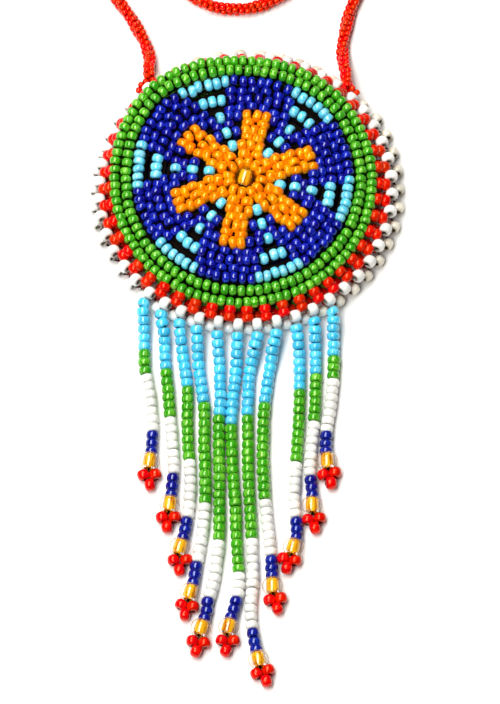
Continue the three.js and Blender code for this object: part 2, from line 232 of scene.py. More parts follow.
def tube_mesh(line, radius, sides, number, closed=False):
    """The same five lists for a thread that follows a line, in the material of this number."""
    line = np.array(line, float)
    if closed:
        heading = unit(np.roll(line, -1, axis=0) - np.roll(line, 1, axis=0))
    else:
        heading = unit(np.gradient(line, axis=0))
    first = [unit(np.cross(heading[0], [0.2, 0.1, 0.97]))]
    for way in heading[1:]:
        first.append(unit(first[-1] - way * np.dot(first[-1], way)))
    first = np.array(first)
    second = np.cross(heading, first)
    turn = np.arange(sides) * 2 * math.pi / sides
    points = line[:, None, :] + radius * (first[:, None, :] * np.cos(turn)[None, :, None]
                                          + second[:, None, :] * np.sin(turn)[None, :, None])
    quads = ring_quads(len(line), sides, len(line) if closed else len(line) - 1)
    points = points.reshape(-1, 3)
    if not closed:
        last = (len(line) - 1) * sides
        for ends, order in ((0, 1), (last, -1)):
            rim = [ends + k for k in range(sides)][::-order]
            caps = [[rim[0], rim[k], rim[k + 1], rim[k + 2]] for k in range(1, sides - 2, 2)]
            quads = np.vstack([quads, caps])
    return points, quads, np.full(len(quads), number), points, np.zeros(len(points))


def make_piece(name, parts, materials, replaced):
    """Joins the parts in one mesh, and puts it in the frame in place of the CAD nodes."""
    starts = np.cumsum([0] + [len(part[0]) for part in parts])
    points = np.vstack([part[0] for part in parts]) * MM
    quads = np.vstack([part[1] + start for part, start in zip(parts, starts)])
    mesh = bpy.data.meshes.new(name)
    mesh.vertices.add(len(points))
    mesh.vertices.foreach_set("co", points.ravel())
    mesh.loops.add(quads.size)
    mesh.loops.foreach_set("vertex_index", quads.ravel().astype(np.int32))
    mesh.polygons.add(len(quads))
    mesh.polygons.foreach_set("loop_start", np.arange(0, quads.size, 4, dtype=np.int32))
    numbers = np.concatenate([part[2] for part in parts])
    mesh.polygons.foreach_set("material_index", numbers.astype(np.int32))
    mesh.update(calc_edges=True)
    mesh.shade_smooth()
    cane = mesh.attributes.new("cane", "FLOAT_VECTOR", "POINT")
    cane.data.foreach_set("vector", np.vstack([part[3] for part in parts]).ravel().astype(np.float32))
    # The hole attribute is the share of painted shade at each point.
    hole = mesh.attributes.new("hole", "FLOAT", "POINT")
    hole.data.foreach_set("value", np.concatenate([part[4] for part in parts]).astype(np.float32))
    for material in materials:
        mesh.materials.append(material)
    piece = bpy.data.objects.new(name, mesh)
    bpy.context.collection.objects.link(piece)
    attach(piece, "root")
    if replaced:
        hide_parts(*replaced)
    return piece


STREAKS, RIPPLES = 2.2, 1.4        # to a millimetre of cane


def seed_glass(name, body, streak, shade_colour, glint, softness, reach):
    """Drawn soda-lime glass, coloured through and cut into beads, then tumbled hot to round them.

    Its skin is fire-polished, so each bead has a small hard highlight, which takes the glint's
    tint where light comes back through the glass. Streaks run along the hole in the body colour,
    its tone differs a little from bead to bead, and shade is painted in with the shade colour:
    full in the hole, and less towards the ends where beads meet. Light spreads in it by this
    softness, and reaches so many millimetres as red, green and blue.
    """
    material, tree = new_material(name)
    cane = add_node(tree, "ShaderNodeAttribute", attribute_name="cane")
    hole = add_node(tree, "ShaderNodeAttribute", attribute_name="hole")
    lot = add_node(tree, "ShaderNodeNewGeometry")
    streaks = add_node(tree, "ShaderNodeTexNoise", {
        "Vector": cane.outputs["Vector"], "Scale": STREAKS, "Detail": 2.0, "Roughness": 0.6})
    share = add_node(tree, "ShaderNodeMapRange", {
        "Value": streaks.outputs["Fac"], "From Min": 0.46, "From Max": 0.64})
    glass = add_node(tree, "ShaderNodeMix", {
        0: share.outputs["Result"], 6: linear(body), 7: linear(streak)}, data_type="RGBA")
    # Painted shade: by the hole attribute the glass turns to the shade colour, fully in the hole and
    # partly at the bead's ends.
    mouth = add_node(tree, "ShaderNodeMapRange", {
        "Value": hole.outputs["Fac"], "From Min": 0.0, "From Max": 0.8})
    darker = add_node(tree, "ShaderNodeMix", {
        0: mouth.outputs["Result"], 6: glass.outputs[2], 7: linear(shade_colour)}, data_type="RGBA")
    tone = add_node(tree, "ShaderNodeMapRange", {
        "Value": lot.outputs["Random Per Island"], "To Min": 0.86, "To Max": 1.1})
    hue = add_node(tree, "ShaderNodeMapRange", {
        "Value": lot.outputs["Random Per Island"], "To Min": 0.503, "To Max": 0.497})
    toned = add_node(tree, "ShaderNodeHueSaturation", {
        "Hue": hue.outputs["Result"], "Value": tone.outputs["Result"], "Color": darker.outputs[2]})
    ripple = add_node(tree, "ShaderNodeTexNoise", {
        "Vector": cane.outputs["Vector"], "Scale": RIPPLES, "Detail": 1.0})
    skin = add_node(tree, "ShaderNodeBump", {
        "Height": ripple.outputs["Fac"], "Strength": 0.03, "Distance": 0.0002})
    polish = add_node(tree, "ShaderNodeMapRange", {
        "Value": streaks.outputs["Fac"], "To Min": 0.04, "To Max": 0.14})
    shader = add_node(tree, "ShaderNodeBsdfPrincipled", {
        "Base Color": toned.outputs["Color"], "Roughness": polish.outputs["Result"], "IOR": 1.52,
        "Specular IOR Level": 0.9, "Specular Tint": linear(glint),
        "Normal": skin.outputs["Normal"], "Subsurface Weight": softness,
        "Subsurface Radius": reach, "Subsurface Scale": MM})
    add_node(tree, "ShaderNodeOutputMaterial", {"Surface": shader.outputs["BSDF"]})
    return material


# The strap's opaque red: bright and even, with only a little painted shade in its small holes and where
# its beads meet.
rope_glass = seed_glass("opaque_light_red_rope_glass", "#EC0E00", "#FA2E06", "#900600", "#FFA474", 0.1,
                        (0.5, 0.08, 0.04))

STRAP_WIDTH = 2.4
ROPE_BEAD, ROPE_LONG, ROPE_HOLE = 1.25, 1.2, 0.45          # width and length of a strap bead
ROPE_OUT = 0.66                    # how far its middle is from the rope's own
ROPE_ROUND = 1.15                  # length of rope that one round takes
ROPE_TURN = 26.0                   # length of rope for one full turn of the twist
ROPE_COLUMNS = 4
LEFT_RUN = [
    (-18.0, 23.9, 3.0), (-17.7, 26.0, 1.9), (-18.0, 28.2, 1.3), (-18.6, 30.2), (-19.7, 32.3),
    (-20.8, 34.5), (-22.1, 36.5), (-23.5, 38.5), (-25.4, 41.3), (-27.4, 44.4), (-28.5, 47.9),
    (-28.0, 51.3), (-25.4, 53.9), (-21.9, 54.2), (-18.9, 51.8), (-17.5, 48.7), (-15.4, 45.4),
    (-12.8, 42.3), (-9.7, 39.6), (-6.2, 37.6), (-2.2, 36.9), (1.7, 37.3), (5.3, 38.7), (8.6, 41.0),
    (11.0, 43.7),
]
RIGHT_RUN = [
    (18.6, 23.6, 3.0), (18.3, 25.9, 1.9), (18.1, 28.4, 1.3), (18.4, 31.2), (18.9, 33.9), (19.5, 36.2),
    (20.2, 38.4), (21.3, 40.8), (22.7, 43.4), (24.2, 46.5), (25.5, 49.8), (26.2, 53.2),
    (25.6, 56.5), (23.5, 58.7, 1.25), (20.7, 58.9, 1.7), (18.7, 57.6, 2.6),
]
MERGE = [(13.2, 47.2), (14.6, 51.2)]                       # into the coil's lower layer
LIFT_OFF = [(14.3, 52.1, 3.8), (16.4, 55.2, 3.5)]          # off its upper layer, over the lower run
COIL_CENTRE = (-1.0, 58.3)
COIL_WIDE, COIL_NARROW = 16.1, 8.9                         # radii of the outer and inner turns
COIL_START, COIL_TURNS, COIL_END = -10, 3, -35             # degrees anticlockwise from +X, and turns
COIL_STEP = 24                                             # degrees between points of a turn
COIL_CLIMB = 120                                           # degrees from one layer up to the other


def coil_points():
    """The lower layer winds inward for three turns, and the upper one outward again on top of it."""
    inner = COIL_START + 360 * COIL_TURNS
    outer = inner + 360 * COIL_TURNS + COIL_END - COIL_START
    points = []
    for angle in range(COIL_START, outer + 1, COIL_STEP):
        if angle <= inner:
            share = (angle - COIL_START) / (inner - COIL_START)
            radius = COIL_WIDE + (COIL_NARROW - COIL_WIDE) * share
        else:
            radius = COIL_NARROW + (COIL_WIDE - COIL_NARROW) * (angle - inner) / (outer - inner)
        climb = min(max((angle - inner) / COIL_CLIMB + 0.5, 0), 1)
        height = STRAP_WIDTH / 2 + STRAP_WIDTH * (1 - math.cos(math.pi * climb)) / 2
        turn = math.radians(angle)
        points.append((COIL_CENTRE[0] + radius * math.cos(turn),
                       COIL_CENTRE[1] + radius * math.sin(turn), height))
    return points


def on_table(points):
    """A point of the strap with no height of its own lies on the table."""
    return [(*point, STRAP_WIDTH / 2)[:3] for point in points]


strap_line = smooth_line(
    on_table(LEFT_RUN + MERGE) + coil_points() + LIFT_OFF + on_table(RIGHT_RUN[::-1]), 0.5)


def rope_beads(line, first_round=0.5):
    """Columns of beads twisted round a line, each a share of a round further on than the last."""
    beads = []
    last = line_length(line) - ROPE_ROUND / 2
    lean = 2 * math.pi * ROPE_OUT / ROPE_TURN
    for column in range(ROPE_COLUMNS):
        first = (first_round + column / ROPE_COLUMNS) * ROPE_ROUND
        distances = np.arange(first, last, ROPE_ROUND)
        places, headings = along_line(line, distances)
        side = unit(np.cross([0.0, 0.0, 1.0], headings))
        above = np.cross(headings, side)
        share = distances / ROPE_TURN + (column + 0.3) / ROPE_COLUMNS
        turn = 2 * math.pi * share[:, None]
        out = np.cos(turn) * side + np.sin(turn) * above
        along = np.cos(turn) * above - np.sin(turn) * side
        for place, heading in zip(places + ROPE_OUT * out, unit(headings + lean * along)):
            beads.append((place, heading, ROPE_BEAD, ROPE_LONG, ROPE_HOLE, 0))
    return beads


rope = bead_mesh(rope_beads(strap_line), 7, 6, slack=0.02, tilt=0.03, full=0.8)
strap = make_piece("strap_rope", [rope], [rope_glass],
                   ["strap_left_run", "strap_right_run", "strap_coil"])


# At the rim each end of the rope parts into single rows of its own beads, which are sewn down on
# both sides of a white bead, so the pull is spread.
ROPE_ENDS = [
    [(-18.0, 24.0, 3.0), (-17.8, 22.8, 3.2), (-17.5, 21.3, 3.3)],
    [(18.6, 23.7, 3.0), (18.8, 22.2, 3.3), (19.0, 19.0, 4.0)],
]
ROOTS = [
    [(-18.2, 21.5, 3.4), (-19.0, 21.1, 3.5), (-19.6, 20.2, 3.3), (-19.8, 19.2, 3.0)],
    [(-16.8, 21.5, 3.5), (-16.4, 20.7, 3.8), (-16.2, 19.8, 4.0)],
    [(18.5, 19.9, 4.0), (18.2, 19.2, 4.2), (17.9, 18.3, 4.4)],
    [(19.7, 20.0, 3.8), (20.6, 19.4, 3.5), (21.1, 18.5, 3.2)],
]
ROOT_LONG, ROOT_STEP = 1.08, 1.1
roots = [bead for points in ROPE_ENDS for bead in rope_beads(smooth_line(points, 0.1), 0.1)]
for points in ROOTS:
    line = smooth_line(points, 0.1)
    places, headings = along_line(line, np.arange(0.3, line_length(line), ROOT_STEP))
    roots += [(place, heading, ROPE_BEAD, ROOT_LONG, ROPE_HOLE, 0)
              for place, heading in zip(places, headings)]
make_piece("strap_roots", [bead_mesh(roots, 12, 8, slack=0.02, tilt=0.04, full=0.8)], [rope_glass],
           [])


# ---- Fringe -----------------------------------------------------------------------------------
# Eleven strands of size 11 seed beads on one thread each: sky, green, white, then three navy. Each
# hangs from a white rim bead, and ends in a clear crystal and a picot, three red beads that the
# thread turns back through.

SEED = 2.1                         # width of a size 11 seed bead
SEED_LONG = 1.56
SEED_HOLE = 0.8
STRAND_WIDE = 2.42                 # the strands are strung from the fuller ones
NESTED = 1.05                      # a strung bead's length over its pitch, as rounded ends nest
THREAD = 0.22                      # radius of the doubled thread in a hole
BALL = 1.95                        # radius of a crystal
FINE = (16, 10)                    # points round a bead that is seen close, and round its wall

# Opaque turquoise, bright and milky, with painted dark blue shade in the hole and where beads meet.
sky_glass = seed_glass("opaque_sky_seed_glass", "#40C6F2", "#74DCFA", "#0B5F8A", "#F0FCFF", 0.2,
                       (0.2, 0.4, 0.6))
# Opaque leaf green with yellower streaks, and painted shade nearly black in the hole and darker where
# beads meet.
green_glass = seed_glass("opaque_green_seed_glass", "#34A212", "#7CCC3C", "#0A3204", "#F0FFD0", 0.12,
                         (0.3, 0.5, 0.1))
# Chalk white, which shows its form by its shading and by painted grey shade in the hole and where beads
# meet.
white_glass = seed_glass("opaque_white_seed_glass", "#F4F5F0", "#FFFFFF", "#8E8A7C", "#FFFFFF", 0.15,
                         (0.5, 0.5, 0.5))
# Opaque navy: dark, with hard pale highlights, and painted near-black shade in the hole and where beads
# meet.
navy_glass = seed_glass("opaque_navy_seed_glass", "#060E7C", "#1428A8", "#01021A", "#DCE8FF", 0.04,
                        (0.1, 0.1, 0.4))
# Opaque red: the picots' and the edging's, orange where it is lit, with painted brown shade in the hole
# and where beads meet.
red_glass = seed_glass("opaque_red_seed_glass", "#D40F02", "#F82806", "#3C0200", "#FF9C70", 0.1,
                       (0.5, 0.08, 0.04))

# Waxed beading thread: dark brown twisted nylon, dulled by the wax. The same near-black thread makes the
# painted shade rings under the front's netting.
TWISTS = 4000.0                    # of the nylon's twist, across a piece
thread_nylon, tree = new_material("waxed_nylon_thread")
twist = add_node(tree, "ShaderNodeTexNoise", {"Scale": TWISTS, "Detail": 1.0})
shade = add_node(tree, "ShaderNodeMix", {
    0: twist.outputs["Fac"], 6: linear("#070403"), 7: linear("#140C07")}, data_type="RGBA")
fuzz = add_node(tree, "ShaderNodeBump", {
    "Height": twist.outputs["Fac"], "Strength": 0.4, "Distance": 0.0001})
nylon = add_node(tree, "ShaderNodeBsdfPrincipled", {
    "Base Color": shade.outputs[2], "Roughness": 0.9, "Specular IOR Level": 0.08,
    "Normal": fuzz.outputs["Normal"]})
add_node(tree, "ShaderNodeOutputMaterial", {"Surface": nylon.outputs["BSDF"]})

# Clear lead crystal, pressed round and fire-polished: colourless, so it shows little but a thin
# darker edge and a hard highlight, and it hardly shades what lies under it.
clear_crystal, tree = new_material("clear_lead_crystal")
edge_on = add_node(tree, "ShaderNodeLayerWeight", {"Blend": 0.5})
shows = add_node(tree, "ShaderNodeMapRange", {
    "Value": edge_on.outputs["Facing"], "From Min": 0.5, "From Max": 0.8,
    "To Min": 0.1, "To Max": 0.9})
crystal = add_node(tree, "ShaderNodeBsdfPrincipled", {
    "Base Color": (1, 1, 1, 1), "Roughness": 0.01, "IOR": 1.5, "Transmission Weight": 1.0,
    "Alpha": shows.outputs["Result"]})
add_node(tree, "ShaderNodeOutputMaterial", {"Surface": crystal.outputs["BSDF"]})

# Amber glass, drawn as the crystal's core: golden yellow, streaked brown along the hole, glossy.
AMBER_RUNS = 2.4                   # to a millimetre
amber_core, tree = new_material("streaked_amber_core_glass")
cane = add_node(tree, "ShaderNodeAttribute", attribute_name="cane")
runs = add_node(tree, "ShaderNodeTexNoise", {
    "Vector": cane.outputs["Vector"], "Scale": AMBER_RUNS, "Detail": 2.0})
golden = add_node(tree, "ShaderNodeMapRange", {
    "Value": runs.outputs["Fac"], "From Min": 0.36, "From Max": 0.56})
amber = add_node(tree, "ShaderNodeMix", {
    0: golden.outputs["Result"], 6: linear("#B86400"), 7: linear("#FFBC10")}, data_type="RGBA")
core_glass = add_node(tree, "ShaderNodeBsdfPrincipled", {
    "Base Color": amber.outputs[2], "Roughness": 0.12, "IOR": 1.6, "Specular IOR Level": 1.0})
add_node(tree, "ShaderNodeOutputMaterial", {"Surface": core_glass.outputs["BSDF"]})

# From the rim, each one's route, crystal, picot and its number of beads of each colour.
FRINGE = [
    ([(-18.8, -23.2), (-18.7, -26.0), (-18.6, -29.0), (-18.6, -32.5), (-18.4, -36.0), (-17.7, -39.5),
      (-17.3, -43.0), (-17.1, -46.5), (-17.2, -51.2)],
     (-17.6, -54.0), (-17.6, -57.2), (6, 3, 7, 3)),
    ([(-15.5, -25.4), (-15.0, -28.0), (-14.8, -31.5), (-14.6, -35.0), (-14.3, -38.5), (-14.0, -42.0),
      (-13.8, -45.5), (-13.4, -50.0), (-13.2, -55.0), (-13.5, -59.6)],
     (-13.9, -62.5), (-14.2, -65.6), (7, 6, 7, 3)),
    ([(-12.1, -27.0), (-11.7, -30.5), (-11.3, -34.5), (-10.7, -38.0), (-10.6, -42.0), (-10.6, -46.5),
      (-10.4, -51.5), (-10.1, -56.0), (-10.2, -60.5), (-10.5, -64.0), (-11.2, -68.2)],
     (-12.0, -71.0), (-12.0, -74.1), (8, 9, 7, 3)),
    ([(-8.9, -28.1), (-8.7, -31.5), (-8.5, -35.5), (-7.9, -39.5), (-7.5, -43.0), (-7.5, -48.0),
      (-7.4, -53.0), (-7.3, -58.5), (-7.5, -64.0), (-8.0, -68.5), (-8.7, -73.0), (-9.4, -77.2)],
     (-10.1, -80.0), (-10.8, -83.0), (9, 12, 7, 3)),
    ([(-5.1, -28.9), (-4.8, -33.0), (-4.6, -37.5), (-4.5, -41.5), (-4.8, -46.0), (-4.8, -51.0),
      (-4.7, -56.5), (-4.7, -62.0), (-4.7, -67.5), (-5.1, -72.5), (-5.8, -77.5), (-6.7, -81.0),
      (-7.2, -84.2)],
     (-8.1, -87.0), (-8.8, -90.2), (10, 15, 7, 3)),
    ([(-1.4, -29.2), (-1.5, -33.0), (-1.8, -37.5), (-2.3, -42.0), (-2.5, -46.5), (-2.4, -51.5),
      (-2.2, -56.5), (-1.8, -61.5), (-1.6, -67.0), (-1.4, -72.0), (-1.1, -77.0), (-1.5, -80.8),
      (-2.3, -83.9)],
     (-3.0, -86.8), (-3.3, -90.0), (11, 18, 3, 3)),
    ([(2.3, -29.2), (1.7, -32.0), (0.9, -36.0), (0.6, -40.0), (0.5, -44.5), (0.6, -49.5), (0.6, -54.5),
      (0.8, -60.0), (1.1, -65.5), (1.3, -71.0), (1.5, -75.5), (1.3, -79.5), (1.1, -83.0), (1.3, -86.8),
      (2.0, -90.4)],
     (2.5, -93.2), (3.5, -96.1), (10, 15, 11, 3)),
    ([(5.8, -28.9), (5.1, -31.8), (4.7, -35.0), (4.0, -39.0), (3.6, -43.0), (3.4, -48.0), (3.3, -52.5),
      (3.5, -58.0), (3.8, -62.5), (4.2, -67.0), (4.7, -71.5), (5.0, -75.8)],
     (5.1, -78.7), (5.7, -81.8), (9, 12, 7, 3)),
    ([(9.6, -27.9), (9.9, -31.0), (10.1, -35.0), (10.1, -39.5), (10.0, -44.0), (9.8, -48.5),
      (9.5, -53.0), (9.2, -57.5), (9.1, -62.0), (9.4, -65.5), (9.6, -68.2)],
     (8.9, -71.0), (8.0, -73.9), (8, 9, 7, 3)),
    ([(12.9, -26.7), (13.0, -29.5), (13.1, -33.5), (13.1, -38.0), (13.0, -42.5), (12.7, -46.5),
      (12.3, -51.0), (12.0, -55.5), (12.4, -59.8)],
     (12.4, -62.7), (12.8, -65.8), (7, 6, 7, 3)),
    ([(16.3, -24.9), (16.3, -28.0), (16.4, -31.5), (16.4, -36.0), (16.1, -40.0), (15.6, -44.0),
      (15.1, -47.5), (15.0, -51.0)],
     (15.2, -53.9), (15.7, -56.9), (6, 3, 7, 3)),
]
RIM_OUTSIDE = 28.85                # radius where a strand leaves the rim
EXIT_HEIGHT = 3.2
STRAND_DROP = 7.5                  # a strand comes down to the table within this length
LIES_AT = STRAND_WIDE / 2 + 0.06   # height of its middle from there on
ENDS_AT = 0.74 * BALL              # from the crystal's centre, in the mouth of its hole


def strand_line(route, crystal_at):
    """From the rim bead down to the table and along the route to the crystal."""
    route = np.array(route, float)
    head = route[0] * RIM_OUTSIDE / np.linalg.norm(route[0])
    tail = np.array(crystal_at) + ENDS_AT * unit(route[-1] - crystal_at)
    gone = np.minimum(1, np.linalg.norm(route - route[0], axis=1) / STRAND_DROP)
    heights = LIES_AT + (EXIT_HEIGHT - LIES_AT) * (1 + np.cos(math.pi * gone)) / 2
    points = [(*head, EXIT_HEIGHT), *np.column_stack([route, heights]), (*tail, LIES_AT + 0.2)]
    return smooth_line(points, 0.4)


def lathe(centre, axis, profile, number):
    """A closed section of (radius, height) turned round an axis, as the same five lists."""
    first = unit(np.cross(axis, [0.3, 0.1, 0.9]))
    second = np.cross(axis, first)
    turn = np.arange(BALL_AROUND) * 2 * math.pi / BALL_AROUND
    spokes = first * np.cos(turn)[:, None] + second * np.sin(turn)[:, None]
    radius, height = np.array(profile).T
    points = centre + radius[:, None, None] * spokes + height[:, None, None] * axis
    cane = np.stack(np.broadcast_arrays(
        radius[:, None] * np.cos(turn), radius[:, None] * np.sin(turn),
        height[:, None] * CORE_STRETCH), axis=-1)
    quads = ring_quads(len(profile), BALL_AROUND, len(profile))[:, [0, 3, 2, 1]]
    return (points.reshape(-1, 3), quads, np.full(len(quads), number),
            cane.reshape(-1, 3) + np.sum(centre), np.zeros(len(quads)))


BALL_AROUND, BALL_RISE = 28, 18    # points round a crystal, and from one end of its hole to the other
BORE = 1.16                        # radius of the clear glass's own hole
CORE_HOLE, CORE_HALF = 0.45, 1.4   # radius of the core's hole, and half its length
CORE_STRETCH = 0.15                # how slowly its streaks change along the hole
# The core is a barrel a little wider than the bore, so that no air lies between the two.
CORE = [(0.9, CORE_HALF), (1.16, 1.1), (1.22, 0.4), (1.22, -0.4), (1.16, -1.1), (0.9, -CORE_HALF),
        (CORE_HOLE, -CORE_HALF), (CORE_HOLE, 0), (CORE_HOLE, CORE_HALF)]


def crystal_ball(name, centre, axis, node):
    """A clear ball, its amber core, and the thread through it."""
    edge = math.asin(BORE / BALL)
    ball = [(BALL * math.sin(angle), BALL * math.cos(angle))
            for angle in np.linspace(edge, math.pi - edge, BALL_RISE)]
    ball += [(BORE, BALL * math.cos(edge) * share) for share in (-0.5, 0, 0.5)]
    axis = unit(np.array(axis, float))
    reach = 1.2 * CORE_HALF * axis
    parts = [lathe(centre, axis, ball, 0), lathe(centre, axis, CORE, 1),
             tube_mesh([centre - reach, centre, centre + reach], THREAD, 8, 2)]
    return make_piece(name, parts, [clear_crystal, amber_core, thread_nylon], [node])


PICOT_WIDE, PICOT_LONG, PICOT_HOLE = 2.36, 2.05, 0.6
PICOT_HEIGHT = 1.27
PICOT_APART = 1.14                 # how far a bead of the pair is to the side
PICOT = [(-1, -0.85), (1, -0.75), (0, 1.1)]      # each bead's side, and how far on it is
PICOT_LOOP = [(0, -1.6), (-1.05, -1.3), (-1.1, -0.5), (-0.7, 0.7), (0, 1.1), (0.7, 0.7), (1.1, -0.5),
              (1.05, -1.3), (0, -1.6)]


def picot_beads(at, toward):
    """Two red beads side by side and one across their ends, with the loop of thread in them."""
    along = unit(np.array([*toward, 0.0]))
    across = np.array([along[1], -along[0], 0.0])
    middle = np.array([*at, PICOT_HEIGHT])
    beads = []
    for side, shift in PICOT:
        lean = chance.normal(0, 0.3)
        heading = along + across * lean if side else across + along * lean
        beads.append((middle + across * side * PICOT_APART + along * shift, heading,
                      PICOT_WIDE, PICOT_LONG, PICOT_HOLE, 0))
    loop = [middle + across * side + along * shift for side, shift in PICOT_LOOP]
    return beads, smooth_line(loop, 0.3)


for k, (route, crystal_at, picot_at, counts) in enumerate(FRINGE, 1):
    line = strand_line(route, crystal_at)
    length = line_length(line)
    total = sum(counts)
    pitch = length / total
    places, headings = along_line(line, (np.arange(total) + 0.5) * pitch)
    colours = [number for number, count in enumerate(counts) for _ in range(count)]
    beads = [(place, heading, STRAND_WIDE, pitch * NESTED, SEED_HOLE, colour)
             for place, heading, colour in zip(places, headings, colours)]
    number = f"{k:02d}"
    strung = bead_mesh(beads, *FINE, slack=0.03, tilt=0.04, full=0.62)
    piece = make_piece(
        f"beaded_strand_{number}", [strung, tube_mesh(line, THREAD, 6, 4)],
        [sky_glass, green_glass, white_glass, navy_glass, thread_nylon],
        [f"fringe_strand_{number}"])
    toward = unit(np.array(crystal_at) - route[-1])
    ball = crystal_ball(f"crystal_bead_{number}", np.array([*crystal_at, BALL + 0.03]),
                        (*toward, 0.0), f"fringe_crystal_{number}")
    reds, loop = picot_beads(picot_at, np.array(picot_at) - crystal_at)
    picot = make_piece(
        f"picot_beads_{number}", [bead_mesh(reds, *FINE), tube_mesh(loop, THREAD * 0.6, 6, 1)],
        [red_glass, thread_nylon], [f"fringe_picot_{number}"])


# ---- Front rosette: netting -------------------------------------------------------------------
# Single-needle netting in the round. Rows of beads run round the rosette, and single beads stand
# between one row and the next with their holes pointing outward. Orange makes a six-armed star, sky
# a fan in each valley between its arms, and cobalt the rest.

APEX_HEIGHT = 8.3                  # of the panel's middle surface at its centre
RIM_HEIGHT = 4.2                   # the same at RIM_RADIUS
RIM_RADIUS = 25.5
DOME_POWER = 2.2
BAG_RADIUS = 28.75
GREEN_INNER, GREEN_OUTER = 21.35, 23.45      # radii of the green rows, the crest of the mouth's lip
MOUTH_MIDDLE, MOUTH_HALF = 2, 44   # clock angles that the open mouth spans
MOUTH_LIFT, LIFT_START = 3.5, 11   # how far the lip stands up, and the radius where it starts to
MOUTH_DROP = 2.2                   # how far the edging drops again outside the crest
LIP_DRAW = 0.5                     # how far lifting draws the crest inward
TUCK_MIDDLE, TUCK_HALF = -24, 62   # where the edging curls down further
TUCK_DROP = 1.2
LEAN, LEAN_MIDDLE, LEAN_HALF = -3.5, -35, 70      # degrees that the outer rows lean round, and where
# Hand work is never quite even. By clock angle: how far the green rows stand up, which is more
# down the left side, how far the rim is drawn in, and how far the rows stand out of round.
STANDS_UP = [(-105, 0), (-85, 0.6), (-65, 2.1), (-45, 3.0), (-22, 3.6), (2, 3.5), (25, 2.9), (45, 1.7),
             (65, 0.6), (85, 0)]
DRAWN_IN = [(-110, 0), (-85, 0.5), (-60, 1.1), (-24, 1.4), (20, 1.2), (48, 1.0), (80, 0.2), (110, 0)]
OUT_OF_ROUND = [(-180, 0.1), (-135, 0.5), (-90, 0.65), (-60, 1.4), (-42, 1.7), (0, 0.45), (48, 0.7),
                (90, 0.1), (135, -0.25), (180, 0.1)]


def signed(clock):
    """The same clock angle between -180 and 180."""
    return (clock + 180) % 360 - 180


def at_clock(measures, clock):
    """What a list of (clock angle, measure) gives between its entries."""
    return np.interp(signed(clock), *zip(*measures))


def arch(clock, middle, half, power=1.5):
    """1 at the middle clock angle, falling to 0 at half the span to either side."""
    return max(0.0, 1 - (signed(clock - middle) / half) ** 2) ** power


def front_surface(radius, clock, height=0.0):
    """A place on the front panel, which is a dome with the mouth's lip raised from it."""
    mouth, tuck = arch(clock, MOUTH_MIDDLE, MOUTH_HALF), arch(clock, TUCK_MIDDLE, TUCK_HALF, 0.8)
    dome = APEX_HEIGHT - (APEX_HEIGHT - RIM_HEIGHT) * (radius / RIM_RADIUS) ** DOME_POWER
    climb = min(max((radius - LIFT_START) / (GREEN_INNER - LIFT_START), 0), 1)
    outside = max(0.0, (radius - GREEN_OUTER) / (BAG_RADIUS - GREEN_OUTER))
    bulge = at_clock(OUT_OF_ROUND, clock) * np.interp(radius, (6, 19, GREEN_OUTER, 27), (0, 1, 1, 0))
    drawn = outside * at_clock(DRAWN_IN, clock)
    reach = radius + bulge - mouth * LIP_DRAW * climb - drawn
    drop = (tuck * TUCK_DROP + mouth * MOUTH_DROP) * math.sqrt(outside)
    crest = at_clock(STANDS_UP, clock) * climb ** 1.5
    lift = crest + (mouth * MOUTH_LIFT - crest) * min(1, outside * 1.3)
    lean = LEAN * arch(clock, LEAN_MIDDLE, LEAN_HALF)
    turn = math.radians(clock + lean * np.interp(radius, (8, 19, 20, 22), (0, 1, 1, 0)))
    return np.array([reach * math.sin(turn), reach * math.cos(turn), dome + lift - drop + height])


def along_row(surface, radius, clock, height=0.0):
    """The place and hole direction of a bead in a row: its hole follows the row round."""
    ahead, behind = (surface(max(radius, 0.1), clock + way, height) for way in (1, -1))
    return surface(radius, clock, height), ahead - behind


def outward(surface, radius, clock, height=0.0):
    """The same of a bead that stands between rows: its hole points outward."""
    place = surface(radius, clock, height)
    return place, surface(radius + 0.5, clock, height) - place


def row_bead(surface, radius, clock, long=SEED_LONG):
    return *along_row(surface, radius, clock), SEED, long, SEED_HOLE, 0


FIRST_ARM, ARMS = 10.5, 6          # clock angle of an arm's axis
SECTOR = 360 / ARMS
ROW_RADII = [3.1, 6.6, 9.55, 12.65, 15.9, 19.1]
ROW_COUNTS = [12, 24, 36, 48, 60, 78]
STAR_REACH = [9, 1, 1, 1, -1, -1]            # orange beads either side of an arm's axis, row by row
FAN_REACH = [-1, 0, 0, 0, 1, 2.5]            # sky beads either side of a valley's axis
POST_CLOCKS = [(15,), (7.5,), (7.2, 24.6), (4.6, 12.8, 20.6), (3.5, 10.4, 17.2)]   # each side of an arm
POST_LONG = [1.85, 1.6, 1.6, 1.6, 1.6]       # length of a standing bead, gap by gap
ROW_PROUD, POST_SUNK = 0.05, -0.1            # heights of the two kinds from the middle surface
STAR_WIDE, STAR_LONG = 2.48, 1.06            # width of a bead, and its length over the chart's
PETAL_WIDE, PETAL_LONG = 2.12, 0.96
FAN_WIDE, FAN_LONG = 2.2, 1.0


